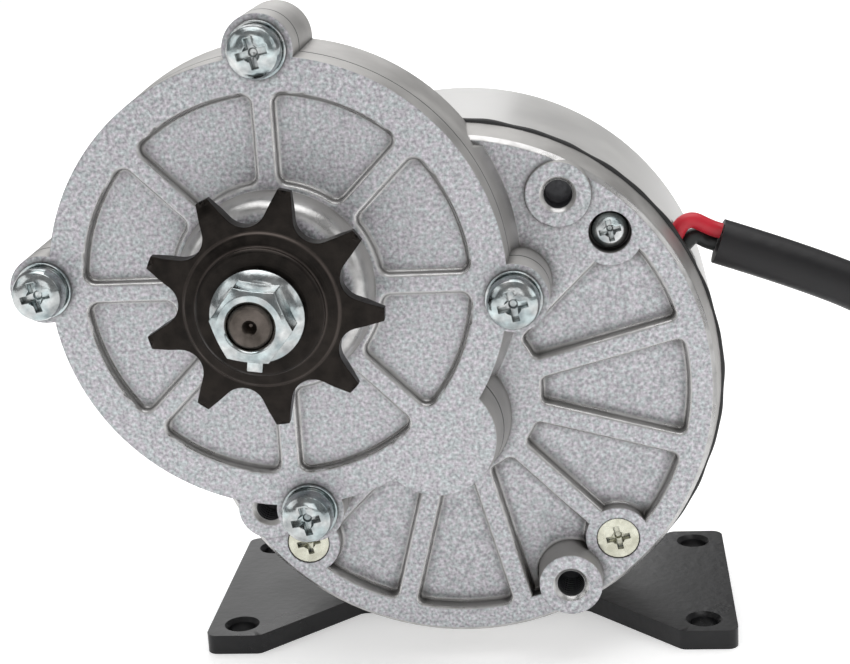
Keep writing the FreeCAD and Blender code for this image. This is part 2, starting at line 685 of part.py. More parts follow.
def pan_head_screw(name, axis, seat, tip, shank, head_radius, head_height):
    """A pan head screw, its head domed and its drive a cross."""
    head_top = seat + head_height
    stock = turned(name + "_stock", axis, [
        (0.01, tip), (shank - 0.4, tip), (shank, tip + 0.6), (shank, seat),
        (head_radius, seat), (head_radius, seat + 0.45 * head_height),
        (head_radius * 0.93, seat + 0.72 * head_height),
        (head_radius * 0.7, seat + 0.93 * head_height),
        (head_radius * 0.35, head_top), (0.01, head_top)])
    return cut(name, stock, [cross_recess(name + "_drive", head_radius * 1.15, 2.0,
                                          head_top, axis)])


def flat_head_screw(name, axis, seat, tip, shank, head_radius, face):
    """A countersunk screw."""
    stock = turned(name + "_stock", axis, [
        (0.01, tip), (shank - 0.3, tip), (shank, tip + 0.5), (shank, seat),
        (head_radius, face - 0.3), (head_radius, face), (0.01, face)])
    return cut(name, stock, [cross_recess(name + "_drive", head_radius * 1.15, 1.6,
                                          face, axis)])


def make_cover_fasteners():
    """Four M5 screws, each with a plain washer and a split spring washer."""
    plain_top = dims.cover_face + 1.0
    spring_top = plain_top + 1.2
    screws, plain, split = [], [], []
    for index, where in enumerate(lug_axes()):
        screws.append(pan_head_screw(f"cover_screw_{index}", where, spring_top, SCREW_TIP,
                                     2.5, 4.75, 3.7))
        plain.append(tube(f"plain_washer_{index}", 2.6, 5.2, dims.cover_face, plain_top, where))
        ring = tube(f"spring_ring_{index}", 2.6, 4.5, plain_top, spring_top, where)
        slit = block(f"spring_gap_{index}", 0.8, 6, plain_top - 0.5, spring_top + 0.5, where,
                     60 + 75 * index)
        split.append(cut(f"spring_washer_{index}", ring, [slit]))
    return (group("cover_screws", screws), group("cover_plain_washers", plain),
            group("cover_spring_washers", split))


def make_through_bolts():
    """Bolts that clamp the bell, the can and the rear cap together."""
    flat = []
    pan = None
    for angle in BOLT_ANGLES:
        where = about(MOTOR_AXIS, dims.bell_screw_radius, angle)
        name = f"through_bolt_{angle + 200}"
        if angle == PAN_BOLT_ANGLE:
            pan = pan_head_screw(name, where, dims.bolt_seat, BOLT_TIP, 2.0, 3.5, 2.6)
        else:
            face = dims.bell_face - 0.15
            flat.append(flat_head_screw(name, where, face - 2.1, BOLT_TIP, 2.0, 4.0, face))
    return group("flat_head_bolts", flat), pan


# ---------------------------------------------------------------- bearings

def make_bearing(name, axis, bore, outer, start, width, balls):
    """A ball bearing as outer race, inner race, balls and cage."""
    middle = (bore + outer) / 2
    ball = (outer - bore) * 0.29
    centre = start + width / 2
    groove = ball + 0.05

    def torus(label):
        piece = doc.addObject("Part::Torus", label)
        bind(piece, Radius1=middle, Radius2=groove)
        return place(piece, axis, centre)

    outer_race = cut(name + "_outer_race",
                     tube(name + "_outer_blank", middle + ball * 0.5, outer, start,
                          start + width, axis),
                     [torus(name + "_outer_groove")])
    inner_race = cut(name + "_inner_race",
                     tube(name + "_inner_blank", bore, middle - ball * 0.5, start,
                          start + width, axis),
                     [torus(name + "_inner_groove")])
    spheres = []
    pockets = []
    for index in range(balls):
        angle = 360 / balls * index
        sphere = doc.addObject("Part::Sphere", f"{name}_ball_{index}")
        bind(sphere, Radius=ball)
        spheres.append(place(sphere, about(axis, middle, angle), centre))
        pockets.append(spoke(f"{name}_pocket_{index}", groove, middle - ball, middle + ball,
                             axis, centre, angle))
    ball_set = group(name + "_balls", spheres)
    cage = cut(name + "_cage",
               tube(name + "_cage_blank", middle - ball * 0.3, middle + ball * 0.3,
                    centre - ball * 1.2, centre + ball * 1.2, axis), pockets)
    return outer_race, inner_race, ball_set, cage


# ---------------------------------------------------------------- gears and shafts

def involute(angle):
    return math.tan(angle) - angle


def gear_outline(teeth, module, shift, tip, root, thinning, phase):
    """The closed outline of a spur gear, one tooth centred on `phase` degrees."""
    pressure = math.radians(20)
    pitch = module * teeth / 2
    base = pitch * math.cos(pressure)
    thickness = module * (math.pi / 2 + 2 * shift * math.tan(pressure)) - thinning
    half = thickness / (2 * pitch)

    def half_angle(radius):
        slope = math.acos(min(1.0, base / radius))
        return half + involute(pressure) - involute(slope)

    def spot(radius, angle):
        return FreeCAD.Vector(radius * math.cos(angle), radius * math.sin(angle), 0)

    low = max(root, base)
    radii = [low + (tip - low) * step / 4 for step in range(5)]
    edges = []
    for tooth in range(teeth):
        middle = math.radians(phase) + 2 * math.pi * tooth / teeth
        rising = [spot(radius, middle - half_angle(radius)) for radius in radii]
        falling = [spot(radius, middle + half_angle(radius)) for radius in reversed(radii)]
        foot_in = spot(root, middle - half_angle(low))
        foot_out = spot(root, middle + half_angle(low))
        next_in = spot(root, middle + 2 * math.pi / teeth - half_angle(low))
        valley = spot(root, middle + math.pi / teeth)
        if low > root:
            edges.append(Part.LineSegment(foot_in, rising[0]).toShape())
        for flank in (rising, falling):
            curve = Part.BSplineCurve()
            curve.interpolate(flank)
            edges.append(curve.toShape())
            if flank is rising:
                top = spot(tip, middle)
                edges.append(Part.Arc(rising[-1], top, falling[0]).toShape())
        if low > root:
            edges.append(Part.LineSegment(falling[-1], foot_out).toShape())
        edges.append(Part.Arc(foot_out, valley, next_in).toShape())
    return Part.Face(Part.Wire(Part.__sortEdges__(edges)))


def toothed(name, axis, start, end, **shape):
    """A toothed disc between two stations, sizes read from the sheet."""
    piece = doc.addObject("Part::Feature", name)
    face = gear_outline(**shape)
    piece.Shape = face.extrude(FreeCAD.Vector(0, 0, end - start))
    return place(piece, axis, start)


def make_output_gear():
    module = dims.gear_module.value
    teeth = int(dims.wheel_teeth.value)
    pitch = module * teeth / 2
    mesh_side = dims.gear_angle.value - 180
    rear = dims.wheel_rear
    front = dims.wheel_front
    rim = toothed("wheel_teeth_ring", OUTPUT_AXIS, rear.value, front.value, teeth=teeth,
                  module=module, shift=-0.5, tip=pitch + 0.5 * module, root=pitch - 1.75 * module,
                  thinning=0.06, phase=mesh_side + 180 / teeth)
    hub_rear = dims.output_seat_rear + 6.0
    hub_front = dims.cover_floor
    bore = rod("wheel_bore", dims.shaft_radius + 0.02, hub_rear - 1, hub_front + 1, OUTPUT_AXIS)
    keyway = block("wheel_keyway", 4.04, 7.8, hub_rear - 1, hub_front + 1, OUTPUT_AXIS, 90)
    recesses = [tube("wheel_rear_recess", 12.5, 30.5, rear - 1, rear + 1.8, OUTPUT_AXIS),
                tube("wheel_front_recess", 12.5, 30.5, front - 1.8, front + 1, OUTPUT_AXIS)]
    holes = [rod(f"wheel_hole_{index}", 4.2, rear - 1, front + 1,
                 about(OUTPUT_AXIS, 21.5, 60 * index)) for index in range(6)]
    hub = rod("wheel_hub", 9, hub_rear, hub_front, OUTPUT_AXIS)
    return cut("output_gear", fuse("wheel_blank", [rim, hub]),
               [bore, keyway] + recesses + holes)


def make_output_shaft():
    """The 12 mm output shaft, turned down to M8 in front of the sprocket."""
    radius = dims.shaft_radius
    rear = dims.output_seat_rear + 0.2
    shoulder = dims.sprocket_hub_face - 0.4
    shaft = turned("output_shaft_stock", OUTPUT_AXIS, [
        (0.01, rear), (radius - 0.4, rear), (radius, rear + 0.4), (radius, shoulder),
        (dims.stud_radius, shoulder), (dims.stud_radius, dims.shaft_end - 0.7),
        (dims.stud_radius - 0.7, dims.shaft_end), (0.01, dims.shaft_end)])
    centre = taper("output_shaft_centre", 0.3, 1.3, dims.shaft_end - 1.6, dims.shaft_end + 0.01,
                   OUTPUT_AXIS)
    slots = [block(f"output_shaft_slot_{index}", 4.0, 4, start, end, OUTPUT_AXIS, turn, KEY_FLOOR)
             for index, (start, end, turn) in enumerate(key_spans())]
    return cut("output_shaft", shaft, [centre] + slots)


def key_spans():
    """Stations and direction of the two keyways in the output shaft: gear, then sprocket."""
    return ((dims.wheel_rear, dims.wheel_front, 90),
            (dims.sprocket_hub_rear + 1, dims.sprocket_hub_face, dims.sprocket_key_angle))


def make_keys():
    """Keys a little smaller than their keyways."""
    return [block(f"key_{index}", 3.98, 3.9, start + 0.2, end - 0.5, OUTPUT_AXIS, turn,
                  KEY_FLOOR + 0.02) for index, (start, end, turn) in enumerate(key_spans())]


def make_sprocket():
    """Toothed plate with bevelled tips and a hub on both sides."""
    tip = dims.sprocket_tip
    rear = dims.sprocket_rear
    face = dims.sprocket_face
    hub_face = dims.sprocket_hub_face
    hub_rear = dims.sprocket_hub_rear
    bore = dims.shaft_radius + 0.02
    bevel = 2.9
    blank = turned("sprocket_blank", OUTPUT_AXIS, [
        (bore, hub_rear), (9.2, hub_rear), (9.2, rear), (tip - bevel, rear), (tip, rear + 0.75),
        (tip, face - 0.75), (tip - bevel, face), (13.8, face), (13.4, face + 0.5),
        (12.0, face + 0.7), (11.3, face + 1.1), (11.3, hub_face - 0.5),
        (10.8, hub_face), (bore, hub_face)])
    teeth = int(dims.sprocket_teeth.value)
    pitch_radius = dims.chain_pitch.value / (2 * math.sin(math.pi / teeth))
    seat = dims.roller_seat.value
    outer = tip.value
    tip_half_width = 1.15
    edge_angle = math.pi / teeth - tip_half_width / outer
    edge = FreeCAD.Vector(outer * math.cos(edge_angle), outer * math.sin(edge_angle), 0)
    reach = edge.sub(FreeCAD.Vector(pitch_radius, 0, 0))
    touch = math.atan2(reach.y, reach.x) + math.acos(seat / reach.Length)
    meet = FreeCAD.Vector(pitch_radius + seat * math.cos(touch), seat * math.sin(touch), 0)
    far = edge.add(edge.sub(meet).multiply(0.6))

    def mirrored(spot):
        return FreeCAD.Vector(spot.x, -spot.y, 0)

    bottom = FreeCAD.Vector(pitch_radius - seat, 0, 0)
    loop = [Part.LineSegment(far, meet), Part.Arc(meet, bottom, mirrored(meet)),
            Part.LineSegment(mirrored(meet), mirrored(far)),
            Part.LineSegment(mirrored(far), far)]
    gap_face = Part.Face(Part.Wire([item.toShape() for item in loop]))
    first = dims.sprocket_phase.value + 180 / teeth
    gaps = []
    for index in range(teeth):
        gap = doc.addObject("Part::Feature", f"sprocket_gap_{index}")
        turned_face = gap_face.copy()
        turned_face.rotate(FreeCAD.Vector(), FreeCAD.Vector(0, 0, 1), first + 360 / teeth * index)
        gap.Shape = turned_face.extrude(FreeCAD.Vector(0, 0, (face - rear).value + 2))
        gaps.append(place(gap, OUTPUT_AXIS, rear - 1))
    keyway = block("sprocket_keyway", 4.04, 7.8, hub_rear - 1, hub_face + 1, OUTPUT_AXIS,
                   dims.sprocket_key_angle)
    return cut("sprocket", blank, gaps + [keyway])


def make_nut_and_washer():
    """An M8 flange nut on a lock washer whose tongue lies over the sprocket's hub."""
    seat = dims.sprocket_hub_face
    disc = rod("tab_washer_disc", 7.6, seat, seat + 1, OUTPUT_AXIS)
    tongue = block("tab_washer_tongue", 2.7, 4.2, seat, seat + 1, OUTPUT_AXIS,
                   dims.sprocket_key_angle, 6)
    hole = rod("tab_washer_hole", 4.1, seat - 1, seat + 2, OUTPUT_AXIS)
    washer = cut("tab_washer", fuse("tab_washer_blank", [disc, tongue]), [hole])
    start = seat + 1
    top = dims.shaft_end
    flange = turned("nut_flange", OUTPUT_AXIS, [
        (4.06, start), (8.1, start), (8.2, start + 1.0), (7.0, start + 2.0), (4.06, start + 3.2)])
    prism = doc.addObject("Part::Prism", "nut_prism")
    prism.Polygon = 6
    bind(prism, Circumradius=7.1, Height=top - start - 1)
    place(prism, OUTPUT_AXIS, start + 1)
    spin = FreeCAD.Rotation(FreeCAD.Vector(0, 0, 1), -9)
    prism.Placement.Rotation = FACING_FRONT.multiply(spin)
    shaper = turned("nut_shaper", OUTPUT_AXIS, [
        (4.06, start + 0.9), (7.3, start + 0.9), (7.3, top - 1.3), (5.5, top), (4.5, top),
        (4.06, top - 0.45)])
    hexagon = common("nut_hexagon", prism, shaper)
    return washer, fuse("flange_nut", [flange, hexagon])


def make_spacer():
    """The spacer between the front bearing and the sprocket."""
    return tube("shaft_spacer", dims.shaft_radius + 0.02, 8.0, dims.output_seat_front,
                dims.sprocket_hub_rear, OUTPUT_AXIS)


def make_armature_shaft():
    """The armature shaft with the pinion cut in its front end."""
    module = dims.gear_module.value
    teeth = int(dims.pinion_teeth.value)
    pitch = module * teeth / 2
    rear = dims.rear_seat + 0.5
    step = dims.rear_seat + 7.6
    pinion_rear = dims.case_floor + 0.5
    front_journal = dims.motor_seat_rear - 0.5
    shaft = turned("armature_shaft_stock", MOTOR_AXIS, [
        (0.01, rear), (3.7, rear), (4.0, rear + 0.4), (4.0, step), (6.0, step),
        (6.0, front_journal), (5.0, front_journal), (5.0, pinion_rear), (0.01, pinion_rear)])
    pinion = toothed("pinion_teeth_ring", MOTOR_AXIS, pinion_rear.value - 0.1,
                     dims.wheel_front.value + 0.4, teeth=teeth, module=module, shift=0.5,
                     tip=4.65, root=pitch - 0.75 * module, thinning=0.06,
                     phase=dims.gear_angle.value)
    return fuse("armature_shaft", [shaft, pinion])


def make_armature():
    """Slotted core, windings with their overhangs, and the commutator."""
    rear = dims.armature_rear
    front = dims.armature_front
    slots = 16
    core_stock = tube("core_stock", 6.03, dims.armature_radius, rear, front, MOTOR_AXIS)
    cutters = []
    coils = []
    for index in range(slots):
        angle = 360 / slots * index
        slot = about(MOTOR_AXIS, 30.5, angle)
        cutters.append(rod(f"core_slot_{index}", 3.6, rear - 1, front + 1, slot))
        cutters.append(block(f"core_mouth_{index}", 2.0, 9, rear - 1, front + 1,
                             MOTOR_AXIS, angle, 30))
        coils.append(rod(f"coil_bar_{index}", 3.4, rear - 0.5, front + 0.5, slot))
    core = cut("armature_core", core_stock, cutters)
    rear_head = turned("coil_rear_head", MOTOR_AXIS, [
        (8.0, rear - 0.05), (34.5, rear - 0.05), (34.5, rear - 2.2), (31.0, rear - 4.6),
        (15.0, rear - 4.6), (8.0, rear - 3.0)])
    front_head = turned("coil_front_head", MOTOR_AXIS, [
        (8.0, front + 0.05), (34.5, front + 0.05), (34.5, front + 1.6), (31.0, front + 3.4),
        (15.0, front + 3.4), (8.0, front + 2.4)])
    windings = fuse("armature_windings", coils + [rear_head, front_head])
    drum_rear = dims.rear_seat + 7.7
    drum_front = drum_rear + 6.4
    bars = 32
    drum = tube("commutator_drum", 6.03, dims.drum_radius, drum_rear, drum_front, MOTOR_AXIS)
    grooves = [block(f"commutator_groove_{index}", 0.5, 2, drum_rear - 0.2, drum_front + 0.4,
                     MOTOR_AXIS, 360 / bars * index, dims.drum_radius - 1)
               for index in range(bars)]
    return core, windings, cut("commutator", drum, grooves)


# ---------------------------------------------------------------- field and brushes

def make_magnets():
    half = MAGNET_HALF_ANGLE
    magnets = []
    for index in range(4):
        ring = tube(f"magnet_ring_{index}", 38.0, dims.can_radius - dims.can_wall - 0.02,
                    17.0, 48.0, MOTOR_AXIS)
        middle = 90 * index
        sides = [block(f"magnet_side_{index}_{side}", 200, 200, 16, 50, MOTOR_AXIS,
                       middle + side * (90 + half), 0) for side in (-1, 1)]
        magnets.append(cut(f"magnet_{index}", ring, sides))
    return group("field_magnets", magnets)


def make_brush_gear():
    """An insulating ring with four holders, carbon brushes and their springs."""
    plate = dims.brush_plate
    ring = tube("brush_ring", dims.drum_radius + 2, 36.8, plate - 2, plate, MOTOR_AXIS)
    holders, brushes, springs = [], [], []
    for index in range(4):
        angle = 90 * index
        stock = block(f"holder_stock_{index}", 10.5, 16, plate, plate + 7, MOTOR_AXIS, angle, 16)
        room = block(f"holder_room_{index}", 8.1, 20, plate + 1.1, plate + 6, MOTOR_AXIS,
                     angle, 14)
        holders.append(cut(f"brush_holder_{index}", stock, [room]))
        brush_stock = block(f"brush_stock_{index}", 8.0, 11.5, plate + 1.2, plate + 5.9,
                            MOTOR_AXIS, angle, 12.5)
        face = rod(f"brush_face_{index}", dims.drum_radius + dims.gap, plate + 0.7, plate + 6.7,
                   MOTOR_AXIS)
        brushes.append(cut(f"brush_{index}", brush_stock, [face]))
        springs.append(block(f"brush_spring_{index}", 4.0, 8, plate + 2.1, plate + 5.1,
                             MOTOR_AXIS, angle, 24))
    return (ring, group("brush_holders", holders), group("carbon_brushes", brushes),
            group("brush_springs", springs))


# ---------------------------------------------------------------- leads and sleeve

def unit(vector):
    return FreeCAD.Vector(vector).normalize()


def smooth_path(route):
    """Straight runs joined by tangent arcs, each as large as its two runs allow."""
    edges = []
    radii = []
    begin = route[0]
    for before, corner, after in zip(route, route[1:], route[2:]):
        incoming = corner.sub(before)
        outgoing = after.sub(corner)
        turn = incoming.getAngle(outgoing)
        trim = 0.45 * min(incoming.Length, outgoing.Length)
        radius = trim / math.tan(turn / 2)
        entry = corner.sub(unit(incoming) * trim)
        leave = corner.add(unit(outgoing) * trim)
        inward = unit(entry.add(leave) * 0.5 - corner)
        middle = corner.add(inward * (radius / math.cos(turn / 2) - radius))
        edges.append(Part.LineSegment(begin, entry).toShape())
        edges.append(Part.Arc(entry, middle, leave).toShape())
        radii.append(radius)
        begin = leave
    edges.append(Part.LineSegment(begin, route[-1]).toShape())
    return Part.Wire(edges), radii


def soft_tube(name, route, radius):
    """A round tube along a route, with its volume compared with section times length."""
    path, radii = smooth_path([FreeCAD.Vector(*spot) for spot in route])
    first = path.Edges[0]
    start = first.Vertexes[0].Point
    along = first.tangentAt(first.FirstParameter)
    ring = Part.Wire(Part.makeCircle(radius.value, start, along))
    piece = doc.addObject("Part::Feature", name)
    piece.Shape = path.makePipeShell([ring], True, False)
    expected = math.pi * radius.value ** 2 * path.Length
    print(f"{name}: length {path.Length:.1f}, volume ratio {piece.Shape.Volume / expected:.4f},",
          "radii", [round(item, 1) for item in radii])
    return piece


# The sleeve's own route: from the leads out to the right, down to the floor and round.
SLEEVE_ROUTE = [
    (50.3, -17.0, 80.0), (64.0, -17.3, 75.3), (80.5, -18.2, 68.3), (96.5, -19.5, 56.2),
    (109.5, -20.6, 38.5), (122.5, -21.0, 19.5), (139.0, -20.6, 7.8), (158.5, -16.5, 4.6),
    (173.8, -5.0, 4.4), (181.8, 12.0, 4.4), (181.2, 31.0, 4.4), (172.4, 47.4, 4.4),
    (156.6, 57.9, 4.4), (138.2, 62.2, 4.4), (120.4, 62.2, 4.4)]


def rim_spot(distance, angle, station):
    """A place given by its distance and direction from the motor axis and its station."""
    turn = math.radians(angle)
    return (distance * math.cos(turn), dims.rear_y.value - station,
            dims.axis_height.value + distance * math.sin(turn))


def make_leads():
    """The two leads: from the brush ring, past the magnets, out at the rim, to the sleeve."""
    mouth = FreeCAD.Vector(*SLEEVE_ROUTE[0])
    along = unit(FreeCAD.Vector(*SLEEVE_ROUTE[1]).sub(mouth))
    upward = unit(FreeCAD.Vector(0, 0, 1).sub(along * along.z))
    red_end = mouth.add(upward * 2.1).add(FreeCAD.Vector(0, -0.7, 0)).sub(along * 0.2)
    black_end = mouth.sub(upward * 0.8).add(FreeCAD.Vector(0, 1.1, 0)).sub(along * 0.2)
    start = dims.brush_plate.value + 0.3
    red = soft_tube("lead_red", [
        rim_spot(34.9, 36.6, start), rim_spot(35.2, 36.6, 12.0), rim_spot(46.0, 36.2, 21.5),
        rim_spot(46.15, 35.8, 32.0), rim_spot(46.0, 35.4, 43.0), rim_spot(46.0, 34.4, 48.2),
        rim_spot(48.6, 31.4, 51.2), (44.3, -18.0, 85.2), tuple(red_end.sub(along * 1.8)),
        tuple(red_end)], dims.lead_radius)
    black = soft_tube("lead_black", [
        rim_spot(34.9, 43.5, start), rim_spot(35.2, 43.5, 12.5), rim_spot(42.3, 37.8, 25.0),
        rim_spot(42.6, 37.2, 34.0), rim_spot(42.5, 35.6, 41.5), rim_spot(42.9, 31.4, 46.8),
        rim_spot(46.4, 27.9, 50.0), (45.9, -16.4, 81.4), tuple(black_end.sub(along * 1.8)),
        tuple(black_end)], dims.lead_radius)
    return red, black


def make_sleeve():
    return soft_tube("lead_sleeve", SLEEVE_ROUTE, dims.sleeve_radius)


def make_connector():
    """A two-way plug at the end of the sleeve, lying on the floor."""
    end = FreeCAD.Vector(*SLEEVE_ROUTE[-1])
    before = FreeCAD.Vector(*SLEEVE_ROUTE[-2])
    heading = end.sub(before)
    angle = math.degrees(math.atan2(heading.y, heading.x))
    turn = FreeCAD.Rotation(FreeCAD.Vector(0, 0, 1), angle)

    def brick(name, length, width, height, forward, low):
        piece = doc.addObject("Part::Box", name)
        bind(piece, Length=length, Width=width, Height=height)
        offset = turn.multVec(FreeCAD.Vector(forward, -width / 2, 0))
        piece.Placement = FreeCAD.Placement(
            FreeCAD.Vector(end.x + offset.x, end.y + offset.y, low), turn)
        return piece

    shell = fuse("connector_stock", [brick("connector_tail", 7, 11, 8.7, 0, 0.1),
                                     brick("connector_body", 18, 15, 9.4, 6.5, 0.1),
                                     brick("connector_latch", 12, 5, 1.6, 9, 9.3)])
    blades = []
    for index, side in enumerate((-3.2, 3.2)):
        blade = brick(f"connector_blade_{index}", 12, 1.2, 5, 18, 2.3)
        blade.Placement.Base = blade.Placement.Base.add(turn.multVec(FreeCAD.Vector(0, side, 0)))
        blades.append(blade)
    blade_set = group("connector_blades", blades)
    return cut("lead_connector", shell, [blade_set]), blade_set


def make_grommet(leads):
    """A rubber block that fills the notch in the can, moulded round the leads."""
    stock = block("grommet_stock", 8.5, 3.6, dims.can_front - 3.9, dims.can_front,
                  MOTOR_AXIS, LEAD_ANGLE, 46.9)
    return cut("lead_grommet", stock, leads)


# ---------------------------------------------------------------- build everything

nodes = {}


def keep(name, piece):
    """Make a finished piece a node; its label names its file."""
    piece.Label = name
    nodes[name] = piece


keep("base_plate", make_base_plate())
keep("base_welds", make_base_welds())
keep("motor_can", make_can())
keep("can_seal", make_can_seal())
keep("rear_cap", make_rear_cap())
keep("end_bell", make_end_bell())
keep("gear_cover", make_gear_cover())
keep("cover_gasket", make_gasket())
keep("oil_seal", make_oil_seal())
for label, made in zip(("cover_screws", "cover_plain_washers", "cover_spring_washers"),
                       make_cover_fasteners()):
    keep(label, made)
for label, made in zip(("flat_head_bolts", "pan_head_bolt"), make_through_bolts()):
    keep(label, made)

# Name, axis, bore radius, outer radius, station of the back, width and number of balls.
BEARINGS = (
    ("output_front_bearing", OUTPUT_AXIS, 6.0, 12.0, dims.cover_floor, 6.0, 10),
    ("output_rear_bearing", OUTPUT_AXIS, 6.0, 12.0, dims.output_seat_rear, 6.0, 10),
    ("motor_front_bearing", MOTOR_AXIS, 5.0, 15.0, dims.motor_seat_rear, 9.0, 8),
    ("motor_rear_bearing", MOTOR_AXIS, 4.0, 11.0, dims.rear_seat, 7.0, 7),
)
for bearing in BEARINGS:
    for ending, made in zip(("outer_race", "inner_race", "balls", "cage"), make_bearing(*bearing)):
        keep(f"{bearing[0]}_{ending}", made)

keep("output_shaft", make_output_shaft())
keep("output_gear", make_output_gear())
for label, made in zip(("gear_key", "sprocket_key"), make_keys()):
    keep(label, made)
keep("sprocket", make_sprocket())
for label, made in zip(("tab_washer", "flange_nut"), make_nut_and_washer()):
    keep(label, made)
keep("shaft_spacer", make_spacer())

keep("armature_shaft", make_armature_shaft())
for label, made in zip(("armature_core", "armature_windings", "commutator"), make_armature()):
    keep(label, made)

keep("field_magnets", make_magnets())
for label, made in zip(("brush_ring", "brush_holders", "carbon_brushes", "brush_springs"),
                       make_brush_gear()):
    keep(label, made)

for label, made in zip(("lead_red", "lead_black"), make_leads()):
    keep(label, made)
keep("lead_sleeve", make_sleeve())
for label, made in zip(("lead_connector", "connector_blades"), make_connector()):
    keep(label, made)
keep("lead_grommet", make_grommet([nodes["lead_red"], nodes["lead_black"]]))

doc.recompute()

for item in doc.Objects:
    if "Invalid" in item.State or "Error" in item.State:
        raise RuntimeError(f"{item.Name} failed: {item.State}")
for name, piece in nodes.items():
    if piece.Shape.isNull() or not piece.Shape.isValid():
        raise RuntimeError(f"{name} has no valid shape")

os.makedirs("parts", exist_ok=True)
for name, piece in nodes.items():
    solids = piece.Shape.Solids
    print(f"{name}: {len(solids)} solids, {piece.Shape.Volume:.1f} mm3")
    piece.Shape.exportStep(f"parts/{name}.step")
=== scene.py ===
import json
import math

import bpy
from mathutils import Matrix, Vector


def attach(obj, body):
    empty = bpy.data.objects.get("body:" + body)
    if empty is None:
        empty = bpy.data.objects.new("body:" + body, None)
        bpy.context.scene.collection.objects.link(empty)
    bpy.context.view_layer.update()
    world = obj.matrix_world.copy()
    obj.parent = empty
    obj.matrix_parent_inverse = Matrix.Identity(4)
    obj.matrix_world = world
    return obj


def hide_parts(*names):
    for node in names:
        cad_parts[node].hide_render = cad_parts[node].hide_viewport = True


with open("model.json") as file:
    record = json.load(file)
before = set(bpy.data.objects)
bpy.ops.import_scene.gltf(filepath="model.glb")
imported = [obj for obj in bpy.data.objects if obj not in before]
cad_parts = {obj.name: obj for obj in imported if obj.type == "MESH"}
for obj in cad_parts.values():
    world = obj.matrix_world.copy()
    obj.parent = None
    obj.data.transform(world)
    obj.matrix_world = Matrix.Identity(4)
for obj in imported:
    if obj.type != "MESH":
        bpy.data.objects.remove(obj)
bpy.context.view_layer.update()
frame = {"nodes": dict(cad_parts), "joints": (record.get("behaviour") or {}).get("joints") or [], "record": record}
nodes = frame["nodes"]

# A geared motor with a chain sprocket. X is to the right, Z is up and the sprocket faces -Y.
# Lengths are in metres, unless a comment says that they are in mm.

MM = 0.001

SPINS = {joint["child"]: joint for joint in frame["joints"]}
MOTOR_AXIS = Vector(SPINS["armature"]["pos_m"])
OUTPUT_AXIS = Vector(SPINS["output"]["pos_m"])


# ---------------------------------------------------------------- camera

CAMERA_SPOT = (0.02925, -0.34687, 0.15717)
CAMERA_TURN = (6.11, 15.72, -3.27)      # azimuth, elevation and roll, in degrees
SENSOR_WIDTH = 36
LENS = 75.34


def make_camera():
    """A camera in front of the sprocket, a little right of it, above it and tilted."""
    azimuth, elevation, roll = map(math.radians, CAMERA_TURN)
    data = bpy.data.cameras.new("camera")
    data.sensor_width = SENSOR_WIDTH
    data.lens = LENS
    data.clip_start = 0.01
    camera = bpy.data.objects.new("camera", data)
    bpy.context.scene.collection.objects.link(camera)
    turn = Matrix.Rotation(azimuth, 3, "Z") @ Matrix.Rotation(math.pi / 2 - elevation, 3, "X")
    turn = turn @ Matrix.Rotation(roll, 3, "Z")
    camera.matrix_world = Matrix.Translation(CAMERA_SPOT) @ turn.to_4x4()
    bpy.context.scene.camera = camera


make_camera()


# ---------------------------------------------------------------- cord

# The sleeve's control points, in mm, from the can to the plug.
SLEEVE_ROUTE = [
    (50.3, -17.0, 80.0), (64.0, -17.3, 75.3), (80.5, -18.2, 68.3), (96.5, -19.5, 56.2),
    (109.5, -20.6, 38.5), (122.5, -21.0, 19.5), (139.0, -20.6, 7.8), (158.5, -16.5, 4.6),
    (173.8, -5.0, 4.4), (181.8, 12.0, 4.4), (181.2, 31.0, 4.4), (172.4, 47.4, 4.4),
    (156.6, 57.9, 4.4), (138.2, 62.2, 4.4), (120.4, 62.2, 4.4)]
SLEEVE_RADIUS = 4.3 * MM


def make_sleeve():
    """The sleeve over the two leads, one smooth curve down to the floor and round."""
    curve = bpy.data.curves.new("sleeve", "CURVE")
    curve.dimensions = "3D"
    curve.bevel_depth = 1
    curve.bevel_resolution = 8
    curve.resolution_u = 16
    curve.use_fill_caps = True
    spline = curve.splines.new("NURBS")
    spline.points.add(len(SLEEVE_ROUTE) - 1)
    for point, spot in zip(spline.points, SLEEVE_ROUTE):
        point.co = (*(Vector(spot) * MM), 1)
        point.radius = SLEEVE_RADIUS
    spline.order_u = 3
    spline.use_endpoint_u = True
    piece = bpy.data.objects.new("sleeve", curve)
    bpy.context.scene.collection.objects.link(piece)
    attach(piece, "housing")
    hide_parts("lead_sleeve")
    return piece


sleeve = make_sleeve()


# ---------------------------------------------------------------- sealant

# The bead around the motor axis, in mm: its two sides along Y, and its radii.
BEAD_BACK = -19.74
BEAD_FRONT = -20.96
BEAD_ROOT = 48.2
BEAD_CREST = 50.95
BEAD_EDGE = (0.25, 0.3)                 # how far its two outer edges are broken, down and along
BEAD_STEPS = 480
SWELL_WAVES = ((9, 1.3), (23, 0), (41, 0.7))      # waves around the bead, and their phases
SHIFT_WAVES = ((7, 0), (17, 2.1), (37, 0))


def ripple(turn, waves):
    """The mean of a few waves around a circle, from -1 to 1."""
    return sum(math.sin(count * turn + phase) for count, phase in waves) / len(waves)


def bead_outline(turn):
    """The (radius, station) corners of the bead's cross-section at an angle."""
    swell = ripple(turn, SWELL_WAVES)
    shift = ripple(turn, SHIFT_WAVES)
    back = BEAD_BACK + 0.12 * shift + 0.10 * swell
    front = BEAD_FRONT + 0.12 * shift - 0.10 * swell
    crest = BEAD_CREST + 0.18 * swell
    down, along = BEAD_EDGE
    return ((BEAD_ROOT, back), (crest - down, back), (crest, back - along),
            (crest, front + along), (crest - down, front), (BEAD_ROOT, front))


